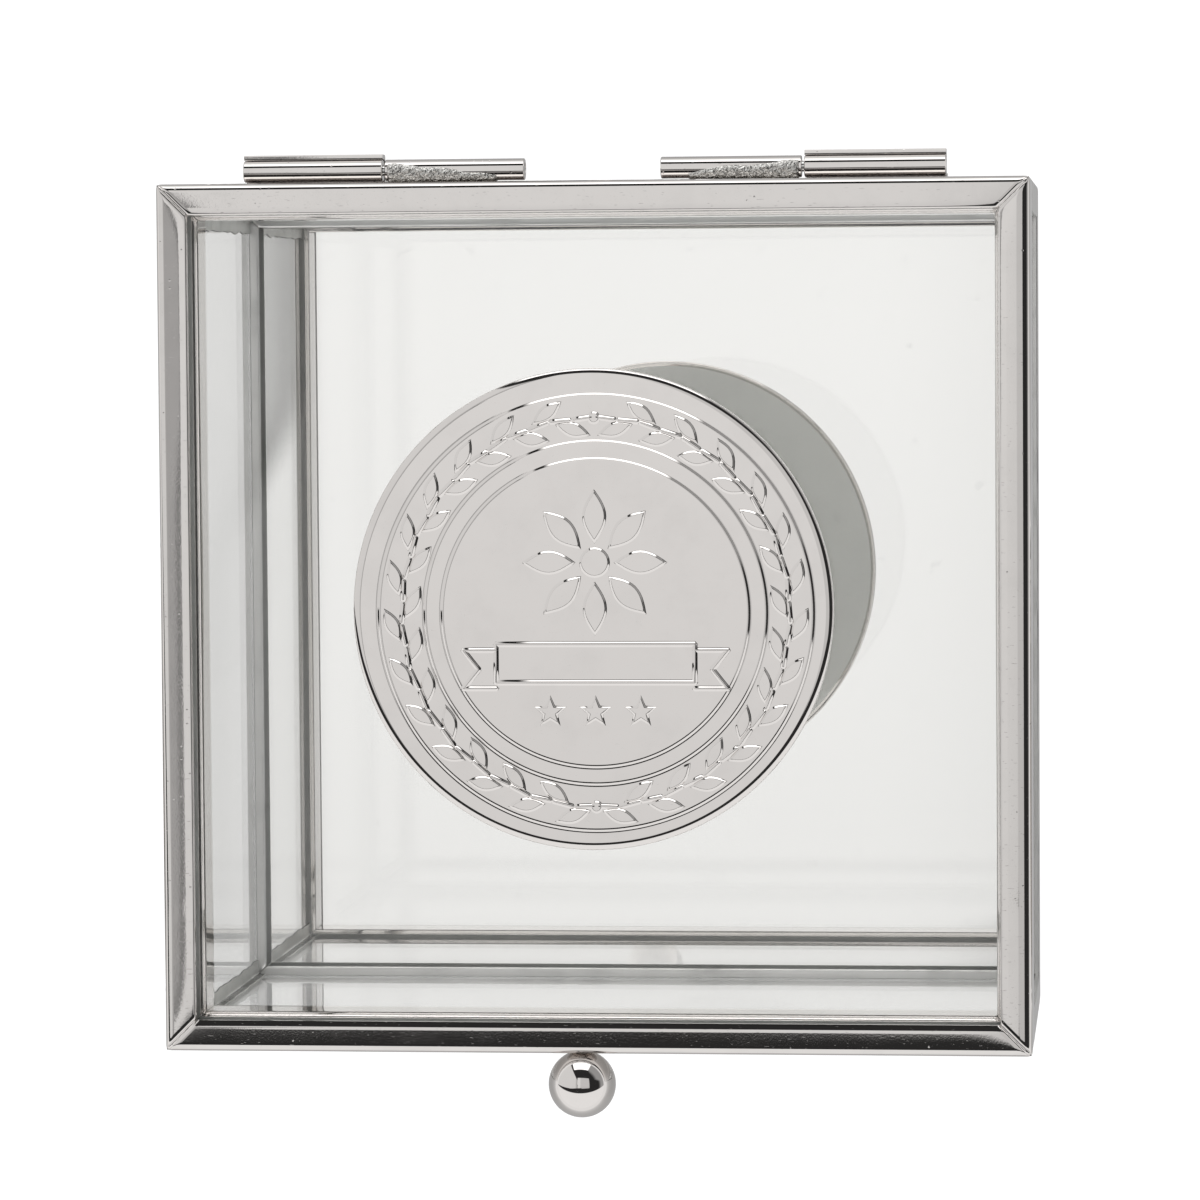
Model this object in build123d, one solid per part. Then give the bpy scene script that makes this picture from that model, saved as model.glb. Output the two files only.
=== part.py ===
"""Square glass trinket box with a hinged glass lid, a mirrored base and a pressed medallion.

Millimetres. X runs to the right, Y from the knob to the hinges, Z up. The origin is the
centre of the underside of the base. Each function below makes one kind of piece, and every
piece is written to its own STEP file.
"""
from build123d import *
from math import cos, hypot, radians, sin
import os

# Overall sizes, over the metal rails
box_width = 80.0
box_depth = 80.0
box_height = 40.0

# Sheet metal of the rails, and the panes that they hold
sheet = 0.45
wall_glass = 2.0
lid_glass = 3.0
mirror_glass = 2.0
pane_play = 0.1
mitre_gap = 0.04

# Reach of the rails over the glass, and their heights
lid_face = 2.9
base_face = 3.4
top_rail_height = 4.6
lid_seat_gap = 0.1
lid_edge_radius = 0.75
base_edge_radius = 0.5
top_edge_radius = 0.8
top_rail_play = 0.2
rail_edge_radius = 0.15
post_leg = 3.0
post_edge_radius = 0.3

# Felt pad under the mirror, flush with the underside of the base rails
pad_edge_gap = 0.3

# Hinges: two pairs of knuckles on a common axis behind the back rails
hinge_inset = 20.7
knuckle_length = 12.9
knuckle_gap = 0.25
knuckle_diameter = 2.0
pin_diameter = 1.0
pin_running_gap = 0.05
hinge_back_gap = 0.15
open_angle = 120.0
stop_gap = 0.1

# Gutter that carries the knuckle of the box
saddle_sheet = 0.45
saddle_play = 0.04
saddle_leaf = 3.0

# Solder between the knuckle of the lid and the back rail of the lid
solder_length = 9.6
solder_offset = 5.9
solder_cover = 0.3
solder_reach = 0.35

# Ball knob on the front rail of the lid
knob_diameter = 6.2
knob_offset = -1.4
knob_flat = 0.1
stud_diameter = 1.4
stud_depth = 2.2

# Medallion on the lid glass
medallion_diameter = 44.0
medallion_height = 1.8
medallion_relief = 0.2
medallion_shoulder = 1.3
medallion_offset = (0.15, 0.9)
medallion_pad_thickness = 0.2
medallion_pad_inset = 0.5
ring_radii = (20.0, 15.75, 14.15)
ring_width = 0.4

# Relief on the medallion: a garland between the two outer rings, and a rosette, a blank
# ribbon and three stars on the field
leaf_count = 26
leaf_length = 3.1
leaf_width = 1.15
leaf_tilt = 24.0
garland_radius = 17.75
garland_spread = 0.72
bead_diameter = 1.1
rosette_height = 4.6
rosette_petals = 8
petal_length = 4.6
petal_width = 2.0
petal_start = 1.9
boss_diameter = 2.8
ribbon_height = -4.6
ribbon_half_length = 9.1
ribbon_half_width = 1.75
ribbon_tail = 3.0
ribbon_tail_drop = 0.55
ribbon_notch = 1.4
star_count = 3
star_height = -9.05
star_pitch = 4.15
star_diameter = 2.9
star_waist = 0.45

# Levels and places that follow from the sizes above
half_width = box_width / 2
half_depth = box_depth / 2
lid_height = lid_glass + 2 * pane_play + 2 * sheet
base_height = mirror_glass + 2 * pane_play + 2 * sheet
mirror_bottom = sheet + pane_play
mirror_top = mirror_bottom + mirror_glass
lid_bottom = box_height - lid_height
lid_glass_bottom = lid_bottom + sheet + pane_play
lid_glass_top = lid_glass_bottom + lid_glass
top_rail_top = lid_bottom - lid_seat_gap
top_rail_bottom = top_rail_top - top_rail_height
top_rail_width = wall_glass + 2 * pane_play + 2 * sheet + top_rail_play
pane_outset = sheet + pane_play
pane_inset = pane_outset + wall_glass
pane_bottom = base_height + pane_play / 2
pane_top = top_rail_top - sheet - pane_play / 2
hinge_middle = half_width - hinge_inset
solder_middle = hinge_middle - solder_offset
knuckle_radius = knuckle_diameter / 2
pin_radius = pin_diameter / 2
pin_to_back = knuckle_radius + hinge_back_gap
pin_y = half_depth + pin_to_back
pin_z = lid_bottom - lid_seat_gap / 2
saddle_inner = knuckle_radius + saddle_play
saddle_outer = saddle_inner + saddle_sheet
knob_radius = knob_diameter / 2
knob_y = -half_depth - knob_radius + knob_flat
knob_z = lid_bottom + lid_height / 2
medallion_radius = medallion_diameter / 2
medallion_bottom = lid_glass_top + medallion_pad_thickness
field_height = medallion_height - medallion_relief

os.makedirs("parts", exist_ok=True)

# Middle of each side's outer face, the direction along it, and half its length
sides = {
    "front": ((0, -half_depth, 0), (1, 0, 0), half_width),
    "right": ((half_width, 0, 0), (0, 1, 0), half_depth),
    "back": ((0, half_depth, 0), (-1, 0, 0), half_width),
    "left": ((-half_width, 0, 0), (0, -1, 0), half_depth),
}
hands = {"left": -1, "right": 1}


def write(shape, name):
    """Write one piece to its own file."""
    export_step(shape, f"parts/{name}.step")


def corner_rectangle(x0, y0, x1, y1):
    """Rectangle sketch between two opposite corners."""
    return Pos((x0 + x1) / 2, (y0 + y1) / 2) * Rectangle(x1 - x0, y1 - y0)


def block(x0, y0, z0, x1, y1, z1):
    """Box between two opposite corners."""
    return Pos((x0 + x1) / 2, (y0 + y1) / 2, (z0 + z1) / 2) * Box(x1 - x0, y1 - y0, z1 - z0)


def vertices_at(sketch, points):
    """The vertices of a sketch that lie at the given points."""
    return [v for v in sketch.vertices() if any(hypot(v.X - x, v.Y - y) < 1e-6 for x, y in points)]


def rounded(sketch, radius, *points):
    """The sketch with the corners at these points rounded."""
    return fillet(vertices_at(sketch, points), radius)


def lid_section():
    """Channel that opens inwards round the lid glass, with a rounded upper outer edge."""
    outline = corner_rectangle(0, 0, lid_face, lid_height)
    outline -= corner_rectangle(sheet, sheet, lid_face, lid_height - sheet)
    outline = rounded(outline, lid_edge_radius, (0, lid_height))
    return rounded(outline, rail_edge_radius, (0, 0), (lid_face, lid_height), (lid_face, 0))


def base_section():
    """Channel that opens inwards round the mirror, with a rounded lower outer edge."""
    outline = corner_rectangle(0, 0, base_face, base_height)
    outline -= corner_rectangle(sheet, sheet, base_face, base_height - sheet)
    outline = rounded(outline, base_edge_radius, (0, 0))
    return rounded(outline, rail_edge_radius, (0, base_height), (base_face, base_height))


def top_section():
    """Channel that opens downwards over the upper edge of a wall pane."""
    outline = corner_rectangle(0, 0, top_rail_width, top_rail_height)
    outline -= corner_rectangle(sheet, 0, top_rail_width - sheet, top_rail_height - sheet)
    outline = rounded(outline, top_edge_radius, (top_rail_width, top_rail_height))
    return rounded(outline, rail_edge_radius, (0, top_rail_height))


def mitred_rail(side, section, bottom, reach):
    """A rail along one side with this section, its ends cut at 45 degrees."""
    origin, along, half_length = sides[side]
    inward = Vector(0, 0, 1).cross(Vector(along))
    across = Plane(origin=origin, x_dir=inward, z_dir=along)
    level = Plane(origin=origin, x_dir=along, z_dir=(0, 0, 1))
    bar = extrude(across * Pos(0, bottom) * section, amount=half_length, both=True)
    end = half_length - mitre_gap
    plan = Polygon((-end, 0), (end, 0), (end - reach, reach), (reach - end, reach), align=None)
    return bar & extrude(level * plan, amount=box_height)


def wall_pane(side):
    """Upright pane: the front and back ones run the full width, the others fit between."""
    outer_x = half_width - pane_outset
    outer_y = half_depth - pane_outset
    inner_x = half_width - pane_inset
    inner_y = half_depth - pane_inset
    between = inner_y - pane_play
    corners = {
        "front": (-outer_x, -outer_y, outer_x, -inner_y),
        "back": (-outer_x, inner_y, outer_x, outer_y),
        "left": (-outer_x, -between, -inner_x, between),
        "right": (inner_x, -between, outer_x, between),
    }
    x0, y0, x1, y1 = corners[side]
    return block(x0, y0, pane_bottom, x1, y1, pane_top)


def corner_post(sign_x, sign_y):
    """Angle strip over an upright corner, between the base rails and the top rails."""
    plan = corner_rectangle(0, 0, post_leg, post_leg)
    plan -= corner_rectangle(sheet, sheet, post_leg, post_leg)
    plan = rounded(plan, post_edge_radius, (0, 0))
    corner = Plane(
        origin=(sign_x * half_width, sign_y * half_depth, base_height),
        x_dir=(-sign_x, 0, 0),
        z_dir=(0, 0, sign_x * sign_y),
    )
    height = top_rail_bottom - base_height
    return extrude(corner * plan, amount=height * sign_x * sign_y)


def base_mirror():
    """Mirror that lies in the channel of the base rails."""
    x = half_width - pane_outset
    y = half_depth - pane_outset
    return block(-x, -y, mirror_bottom, x, y, mirror_top)


def base_pad():
    """Felt pad on the back of the mirror, inside the lower lips of the base rails."""
    x = half_width - base_face - pad_edge_gap
    y = half_depth - base_face - pad_edge_gap
    return block(-x, -y, 0, x, y, mirror_bottom)


def lid_pane():
    """Glass of the lid, in the channel of its rails."""
    x = half_width - pane_outset
    y = half_depth - pane_outset
    return block(-x, -y, lid_glass_bottom, x, y, lid_glass_top)


def hinge_plane(x):
    """Plane across the hinge axis at x: its own x is Y, and its own y is Z."""
    return Plane(origin=(x, pin_y, pin_z), x_dir=(0, 1, 0), z_dir=(1, 0, 0))


def along_hinge(sketch, start, end):
    """A section about the hinge axis, drawn out between two places along it."""
    low, high = min(start, end), max(start, end)
    return extrude(hinge_plane(low) * sketch, amount=high - low)


def knuckle_ends(hand, on_lid):
    """Where a knuckle starts and ends along X: the lid has the inner one of each pair."""
    towards = -1 if on_lid else 1
    near = hinge_middle + towards * knuckle_gap / 2
    far = near + towards * knuckle_length
    return hand * near, hand * far


def lid_knuckle(hand):
    """Tube that turns on the pin."""
    tube = Circle(knuckle_radius) - Circle(pin_radius + pin_running_gap)
    return along_hinge(tube, *knuckle_ends(hand, True))


def box_knuckle(hand):
    """Tube that holds the pin fast."""
    tube = Circle(knuckle_radius) - Circle(pin_radius)
    return along_hinge(tube, *knuckle_ends(hand, False))


def hinge_pin(hand):
    """Wire through both knuckles of a hinge."""
    inner_end = knuckle_ends(hand, True)[1]
    outer_end = knuckle_ends(hand, False)[1]
    return along_hinge(Circle(pin_radius), inner_end, outer_end)


def hinge_saddle(hand):
    """Gutter under the knuckle of the box, with a leaf down the back rail.

    Its rear wall is as high as the back of the opened lid allows, and stops the lid there.
    """
    opened = radians(open_angle)
    wall_top = (pin_to_back - stop_gap + saddle_outer * cos(opened)) / sin(opened)
    gutter = corner_rectangle(-pin_to_back, -saddle_outer, saddle_outer, -saddle_inner)
    gutter += corner_rectangle(saddle_inner, -saddle_outer, saddle_outer, wall_top)
    leaf_inner = -pin_to_back + saddle_sheet
    gutter += corner_rectangle(-pin_to_back, -saddle_outer - saddle_leaf, leaf_inner, -saddle_inner)
    gutter = rounded(gutter, saddle_sheet, (saddle_outer, -saddle_outer))
    return along_hinge(gutter, *knuckle_ends(hand, False))


def hinge_solder(hand):
    """Solder that fills the corner between the knuckle of the lid and the back rail."""
    top = knuckle_radius + solder_cover
    foot = lid_bottom - pin_z + rail_edge_radius
    lump = corner_rectangle(-pin_to_back, foot, solder_reach, top)
    lump -= Circle(knuckle_radius)
    lump = rounded(lump, solder_cover / 2, (solder_reach, top))
    start = hand * (solder_middle - solder_length / 2)
    end = hand * (solder_middle + solder_length / 2)
    return along_hinge(lump, start, end)


def knob_rod(inside, outside):
    """Round rod on the knob's axis, this far inside and outside the front rail's outer face."""
    origin = (knob_offset, -half_depth + inside, knob_z)
    across = Plane(origin=origin, x_dir=(1, 0, 0), z_dir=(0, -1, 0))
    return extrude(across * Circle(stud_diameter / 2), amount=inside + outside)


def knob_ball():
    """Ball with a small flat against the front rail, and a blind hole for its stud."""
    ball = Pos(knob_offset, knob_y, knob_z) * Sphere(knob_radius)
    in_front = Pos(knob_offset, -half_depth - knob_diameter / 2, knob_z) * Box(*[knob_diameter] * 3)
    return (ball & in_front) - knob_rod(0, stud_depth)


def knob_stud():
    """Stud through the outer wall of the front rail and into the ball."""
    return knob_rod(sheet, stud_depth)


def lens(length, width):
    """Pointed leaf along X, from the origin, between two arcs."""
    upper = ThreePointArc((0, 0), (length / 2, width / 2), (length, 0))
    lower = ThreePointArc((length, 0), (length / 2, -width / 2), (0, 0))
    return make_face([upper, lower])


def garland():
    """Leaves in pairs up both sides of the band, and a bead where they start and meet."""
    leaves = []
    step = 180.0 / (leaf_count + 1)
    for side in (-1, 1):
        for number in range(leaf_count):
            turned = -90.0 + side * step * (number + 1)
            outward = 1 if number % 2 == 0 else -1
            radius = garland_radius + outward * garland_spread
            heading = turned + side * 90.0 - side * outward * leaf_tilt
            centre = Pos(radius * cos(radians(turned)), radius * sin(radians(turned)))
            leaves.append(centre * Rot(0, 0, heading) * Pos(-leaf_length / 2, 0) * lens(leaf_length, leaf_width))
    for height in (-garland_radius, garland_radius):
        leaves.append(Pos(0, height) * Circle(bead_diameter / 2))
    return leaves


def rosette():
    """Petals round a boss."""
    petals = [Pos(0, rosette_height) * Circle(boss_diameter / 2)]
    for number in range(rosette_petals):
        turn = Rot(0, 0, 360.0 * number / rosette_petals)
        petals.append(Pos(0, rosette_height) * turn * Pos(petal_start, 0) * lens(petal_length, petal_width))
    return petals


def ribbon():
    """Blank ribbon with a notched tail behind each end."""
    band = Rectangle(2 * ribbon_half_length, 2 * ribbon_half_width)
    shapes = [Pos(0, ribbon_height) * band]
    tail_end = ribbon_half_length + ribbon_tail
    low = -ribbon_half_width - ribbon_tail_drop
    high = ribbon_half_width - ribbon_tail_drop
    for side in (-1, 1):
        tail = Polygon(
            (side * ribbon_half_length, low),
            (side * tail_end, low),
            (side * (tail_end - ribbon_notch), (low + high) / 2),
            (side * tail_end, high),
            (side * ribbon_half_length, high),
            align=None,
        )
        shapes.append(Pos(0, ribbon_height) * tail)
    return shapes


def stars():
    """A row of five-pointed stars."""
    points = []
    for number in range(10):
        radius = star_diameter / 2 * (1 if number % 2 == 0 else star_waist)
        angle = radians(90 + 36 * number)
        points.append((radius * cos(angle), radius * sin(angle)))
    star = Polygon(*points, align=None)
    places = [star_pitch * (number - (star_count - 1) / 2) for number in range(star_count)]
    return [Pos(place, star_height) * star for place in places]


def medallion_plate():
    """Pressed disc with a round shoulder, three rings and the relief on its field."""
    plate = Cylinder(medallion_radius, field_height, align=(Align.CENTER, Align.CENTER, Align.MIN))
    plate = fillet(plate.edges().sort_by(Axis.Z)[-1], medallion_shoulder)
    for radius in ring_radii:
        ring = Circle(radius + ring_width / 2) - Circle(radius - ring_width / 2)
        plate += extrude(ring, amount=medallion_height)
    raised = garland() + rosette() + ribbon() + stars()
    plate = plate.fuse(*[extrude(shape, amount=medallion_height, dir=(0, 0, 1)) for shape in raised])
    x, y = medallion_offset
    return Pos(x, y, medallion_bottom) * plate


def medallion_pad():
    """Thin adhesive pad between the medallion and the lid glass."""
    radius = medallion_radius - medallion_pad_inset
    x, y = medallion_offset
    pad = Cylinder(radius, medallion_pad_thickness, align=(Align.CENTER, Align.CENTER, Align.MIN))
    return Pos(x, y, lid_glass_top) * pad


def lid_front_rail():
    """Front rail of the lid, with the hole for the knob's stud."""
    return mitred_rail("front", lid_section(), lid_bottom, lid_face) - knob_rod(sheet, 0)


def build():
    """Write every piece."""
    for side in sides:
        write(mitred_rail(side, base_section(), 0, base_face), f"base_rail_{side}")
        write(wall_pane(side), f"wall_glass_{side}")
        write(mitred_rail(side, top_section(), top_rail_bottom, top_rail_width), f"top_rail_{side}")
    for side in ("back", "left", "right"):
        write(mitred_rail(side, lid_section(), lid_bottom, lid_face), f"lid_rail_{side}")
    write(lid_front_rail(), "lid_rail_front")
    for row, sign_y in {"front": -1, "back": 1}.items():
        for name, sign_x in hands.items():
            write(corner_post(sign_x, sign_y), f"corner_post_{row}_{name}")
    write(base_mirror(), "base_mirror")
    write(base_pad(), "base_pad")
    write(lid_pane(), "lid_glass")
    for name, hand in hands.items():
        write(lid_knuckle(hand), f"hinge_lid_knuckle_{name}")
        write(box_knuckle(hand), f"hinge_box_knuckle_{name}")
        write(hinge_pin(hand), f"hinge_pin_{name}")
        write(hinge_saddle(hand), f"hinge_saddle_{name}")
        write(hinge_solder(hand), f"hinge_solder_{name}")
    write(knob_ball(), "knob_ball")
    write(knob_stud(), "knob_stud")
    write(medallion_plate(), "medallion_plate")
    write(medallion_pad(), "medallion_pad")


build()
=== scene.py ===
"""Glass trinket box with a mirrored base: the looks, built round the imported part.

Sizes are in millimetres. The floor, the camera, texture scales and finished mesh data are in metres.
"""

import bmesh
import bpy
import math
from mathutils import Matrix, Vector, noise


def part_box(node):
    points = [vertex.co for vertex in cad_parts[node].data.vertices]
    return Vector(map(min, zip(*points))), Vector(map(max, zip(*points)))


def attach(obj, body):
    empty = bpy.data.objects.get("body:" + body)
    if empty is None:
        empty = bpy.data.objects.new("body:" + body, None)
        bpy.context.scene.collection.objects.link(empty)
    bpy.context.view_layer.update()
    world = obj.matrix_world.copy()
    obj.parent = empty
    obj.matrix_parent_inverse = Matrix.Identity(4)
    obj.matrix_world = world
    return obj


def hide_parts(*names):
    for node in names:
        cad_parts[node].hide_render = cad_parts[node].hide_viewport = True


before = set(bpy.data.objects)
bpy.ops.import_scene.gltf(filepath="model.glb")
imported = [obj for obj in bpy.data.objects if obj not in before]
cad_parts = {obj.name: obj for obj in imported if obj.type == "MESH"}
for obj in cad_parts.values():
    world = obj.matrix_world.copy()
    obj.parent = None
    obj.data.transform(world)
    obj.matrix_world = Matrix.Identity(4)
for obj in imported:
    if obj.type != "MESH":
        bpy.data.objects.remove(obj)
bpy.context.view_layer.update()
MM = 0.001

# Sizes shared with the solid model: the box and its rails
HALF = 40.0
LID_TOP = 40.0
LID_BOTTOM = 35.9
LID_FACE = 2.9
LID_EDGE_R = 0.75
TOP_RAIL_TOP = 35.8
TOP_RAIL_BOTTOM = 31.2
TOP_RAIL_WIDTH = 3.3
BASE_TOP = 3.1
BASE_FACE = 3.4
SHEET = 0.45
MITRE_GAP = 0.04
POST_LEG = 3.0
POST_EDGE_R = 0.3

# Hinges
PIN_Y = 41.15
PIN_Z = 35.85
KNUCKLE_R = 1.0
BORE_R = 0.55
PIN_R = 0.5
HINGE_MIDDLE = 19.3
KNUCKLE_LENGTH = 12.9
KNUCKLE_GAP = 0.25
TUBE_TO_RAIL = 0.15
TUBE_TO_SADDLE = 0.04
SADDLE_LEAF = 3.0
OPEN_ANGLE = 120.0

# Knob and medallion
KNOB = (-1.4, -43.0, 37.95)
KNOB_R = 3.1
MEDAL = (0.15, 0.9)
MEDAL_R = 22.0
MEDAL_BOTTOM = 39.65
FIELD = 1.6
PAD_R = 21.5
PAD_BOTTOM = 39.45


# Node helpers
class Graph:
    """Short names for building a node tree."""

    def __init__(self, tree):
        self.tree = tree
        tree.nodes.clear()

    def node(self, kind, settings=None, **inputs):
        n = self.tree.nodes.new(kind)
        for key, value in (settings or {}).items():
            setattr(n, key, value)
        for key, value in inputs.items():
            self.put(n.inputs[key.replace("_", " ")], value)
        return n

    def put(self, socket, value):
        if isinstance(value, bpy.types.NodeSocket):
            self.tree.links.new(value, socket)
        else:
            socket.default_value = value

    def math(self, op, a, b=0.0):
        n = self.node("ShaderNodeMath", {"operation": op})
        self.put(n.inputs[0], a)
        self.put(n.inputs[1], b)
        return n.outputs[0]

    def ramp(self, value, low, high, to_low=0.0, to_high=1.0, smooth=True):
        """A value that goes from to_low to to_high while the input goes from low to high."""
        n = self.node(
            "ShaderNodeMapRange",
            {"interpolation_type": "SMOOTHSTEP" if smooth else "LINEAR", "clamp": True},
        )
        for i, v in enumerate((value, low, high, to_low, to_high)):
            self.put(n.inputs[i], v)
        return n.outputs[0]

    def mix(self, factor, a, b):
        n = self.node("ShaderNodeMix", {"data_type": "RGBA"})
        self.put(n.inputs[0], factor)
        self.put(n.inputs[6], a)
        self.put(n.inputs[7], b)
        return n.outputs[2]

    def over(self, base, mask, value):
        """A number painted over another one, as far as the mask goes."""
        n = self.node("ShaderNodeMix", {"data_type": "FLOAT"})
        self.put(n.inputs[0], mask)
        self.put(n.inputs[2], base)
        self.put(n.inputs[3], value)
        return n.outputs[0]

    def both(self, *masks):
        """Where all the masks are."""
        out = masks[0]
        for mask in masks[1:]:
            out = self.math("MULTIPLY", out, mask)
        return out

    def shader_mix(self, factor, a, b):
        n = self.node("ShaderNodeMixShader")
        self.put(n.inputs[0], factor)
        self.tree.links.new(a, n.inputs[1])
        self.tree.links.new(b, n.inputs[2])
        return n.outputs[0]

    def coords(self, scale=(1, 1, 1), turn=(0, 0, 0)):
        """The piece's own coordinates in metres, scaled and turned."""
        n = self.node("ShaderNodeMapping")
        self.tree.links.new(self.node("ShaderNodeTexCoord").outputs["Object"], n.inputs["Vector"])
        n.inputs["Scale"].default_value = scale
        n.inputs["Rotation"].default_value = turn
        return n.outputs[0]

    def noise(self, vector, scale, detail=2.0, rough=0.5, distortion=0.0):
        n = self.node("ShaderNodeTexNoise", Vector=vector, Scale=scale, Detail=detail,
                      Roughness=rough, Distortion=distortion)
        return n.outputs[0]

    def cells(self, vector, scale):
        return self.node("ShaderNodeTexVoronoi", Vector=vector, Scale=scale)

    def random_of(self, cells):
        """One random number for each cell."""
        return self.node("ShaderNodeSeparateColor", Color=cells.outputs["Color"]).outputs[0]

    def bump(self, height, distance, normal=None):
        n = self.node("ShaderNodeBump", Height=height, Distance=distance, Strength=1.0)
        if normal is not None:
            self.put(n.inputs["Normal"], normal)
        return n.outputs[0]

    def surface(self, shader, volume=None):
        out = self.node("ShaderNodeOutputMaterial")
        self.tree.links.new(shader, out.inputs["Surface"])
        if volume is not None:
            self.tree.links.new(volume, out.inputs["Volume"])


def new_material(name):
    """An empty material and the graph of its nodes."""
    mat = bpy.data.materials.new(name)
    mat.use_nodes = True
    return mat, Graph(mat.node_tree)


def rgb(r, g, b):
    """A colour with its alpha."""
    return (r, g, b, 1.0)


# Materials
def scratch_mask(g, turn, along, across, low, high):
    """Thin streaks: noise drawn out along one direction."""
    v = g.coords((along, across, across), (0, 0, turn))
    return g.ramp(g.noise(v, 1.0, 1.0), low, high)


def metal_material(name, color, rough, wave, scratch, pit, grain):
    """Plated sheet: slow waves, fine scratches, scattered pits and matt smudges. The wave, scratch and pit
    are depths in millimetres, and the grain is a share of the pit."""
    mat, g = new_material(name)
    plain = g.coords()
    slow = g.noise(plain, 90.0, 1.0)
    smudge = g.ramp(g.noise(plain, 260.0, 4.0, 0.6), 0.42, 0.75)
    fine = g.noise(plain, 5200.0, 3.0, 0.6)
    scratches = g.math("MAXIMUM", scratch_mask(g, 0.6, 1300.0, 13000.0, 0.74, 0.79),
                       scratch_mask(g, -0.9, 1600.0, 15000.0, 0.75, 0.80))
    spots = g.cells(plain, 1500.0)
    worn = g.ramp(g.noise(plain, 210.0, 2.0), 0.40, 0.62)
    chosen = g.math("GREATER_THAN", g.math("MULTIPLY", worn, g.random_of(spots)), 0.62)
    dents = g.math("MULTIPLY", g.ramp(spots.outputs["Distance"], 0.03, 0.16, 1.0, 0.0), chosen)
    tint = g.mix(g.math("MULTIPLY", smudge, 0.55), rgb(*color), rgb(*[c * 0.93 for c in color]))
    roughness = g.math("ADD", g.math("MULTIPLY", smudge, rough * 0.9), rough)
    roughness = g.math("ADD", roughness, g.math("MULTIPLY", scratches, 0.10))
    normal = g.bump(slow, wave * MM)
    normal = g.bump(scratches, scratch * MM, normal)
    normal = g.bump(g.math("SUBTRACT", g.math("MULTIPLY", fine, grain), dents), pit * MM, normal)
    shader = g.node("ShaderNodeBsdfPrincipled", Base_Color=tint, Metallic=1.0, Roughness=roughness,
                    Normal=normal)
    g.surface(shader.outputs[0])
    return mat


def glass_material(name, tint, absorb, density, rough_edge=False):
    """Clear float glass with a few specks of dust. Shadow rays pass straight through it."""
    mat, g = new_material(name)
    clear = g.node("ShaderNodeBsdfPrincipled", Base_Color=rgb(*tint), Transmission_Weight=1.0, IOR=1.5,
                   Roughness=0.18 if rough_edge else 0.0)
    if rough_edge:
        grind = g.noise(g.coords(), 9000.0, 3.0, 0.7)
        g.put(clear.inputs["Normal"], g.bump(grind, 0.01 * MM))
    specks = g.cells(g.coords(), 95.0)
    chosen = g.ramp(g.random_of(specks), 0.86, 0.88)
    dust = g.math("MULTIPLY", g.ramp(specks.outputs["Distance"], 0.004, 0.012, 1.0, 0.0), chosen)
    lint = g.node("ShaderNodeBsdfDiffuse", Color=rgb(0.93, 0.93, 0.92))
    seen = g.shader_mix(dust, clear.outputs[0], lint.outputs[0])
    passing = g.node("ShaderNodeBsdfTransparent", Color=rgb(0.93, 0.95, 0.94))
    path = g.node("ShaderNodeLightPath")
    both = g.shader_mix(path.outputs["Is Shadow Ray"], seen, passing.outputs[0])
    volume = g.node("ShaderNodeVolumeAbsorption", Color=rgb(*absorb), Density=density)
    g.surface(both, volume.outputs[0])
    return mat


def silver_material(name):
    """Silvered back of the mirror, with a few faint spots."""
    mat, g = new_material(name)
    v = g.coords()
    spots = g.ramp(g.noise(v, 420.0, 3.0), 0.66, 0.78)
    shader = g.node("ShaderNodeBsdfPrincipled",
                    Base_Color=g.mix(spots, rgb(0.95, 0.948, 0.938), rgb(0.905, 0.903, 0.893)),
                    Metallic=1.0, Roughness=0.0)
    g.surface(shader.outputs[0])
    return mat


def solder_material(name):
    """Solder that set rough: bright crystals in a matt skin."""
    mat, g = new_material(name)
    v = g.coords()
    crystals = g.cells(v, 5200.0)
    skin = g.noise(v, 2600.0, 4.0, 0.65)
    tint = g.mix(g.ramp(skin, 0.3, 0.7), rgb(0.52, 0.51, 0.49), rgb(0.80, 0.79, 0.76))
    normal = g.bump(crystals.outputs["Distance"], 0.06 * MM)
    normal = g.bump(skin, 0.05 * MM, normal)
    shader = g.node("ShaderNodeBsdfPrincipled", Base_Color=tint, Metallic=1.0, Normal=normal,
                    Roughness=g.ramp(skin, 0.3, 0.75, 0.14, 0.34))
    g.surface(shader.outputs[0])
    return mat


def felt_material(name):
    """Pressed wool felt: matted fibres and a soft nap."""
    mat, g = new_material(name)
    v = g.coords()
    mat_noise = g.noise(v, 900.0, 6.0, 0.7, 1.5)
    fibres = g.noise(g.coords((2600, 240, 2600), (0, 0, 0.7)), 1.0, 3.0, 0.6, 2.5)
    tint = g.mix(g.ramp(mat_noise, 0.3, 0.7), rgb(0.028, 0.029, 0.031), rgb(0.075, 0.076, 0.08))
    normal = g.bump(mat_noise, 0.12 * MM)
    normal = g.bump(fibres, 0.05 * MM, normal)
    shader = g.node("ShaderNodeBsdfPrincipled", Base_Color=tint, Normal=normal, Sheen_Weight=0.35,
                    Roughness=g.ramp(fibres, 0.2, 0.8, 0.82, 1.0))
    g.surface(shader.outputs[0])
    return mat


def adhesive_material(name):
    """Pale foam tape behind the medallion."""
    mat, g = new_material(name)
    v = g.coords()
    foam = g.noise(v, 3200.0, 4.0, 0.6)
    cloud = g.ramp(g.noise(v, 160.0, 2.0), 0.35, 0.65)
    tint = g.mix(cloud, rgb(0.90, 0.885, 0.86), rgb(0.93, 0.915, 0.89))
    shader = g.node("ShaderNodeBsdfPrincipled", Base_Color=tint, Normal=g.bump(foam, 0.02 * MM),
                    Roughness=g.ramp(foam, 0.3, 0.7, 0.55, 0.75))
    g.surface(shader.outputs[0])
    return mat


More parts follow.
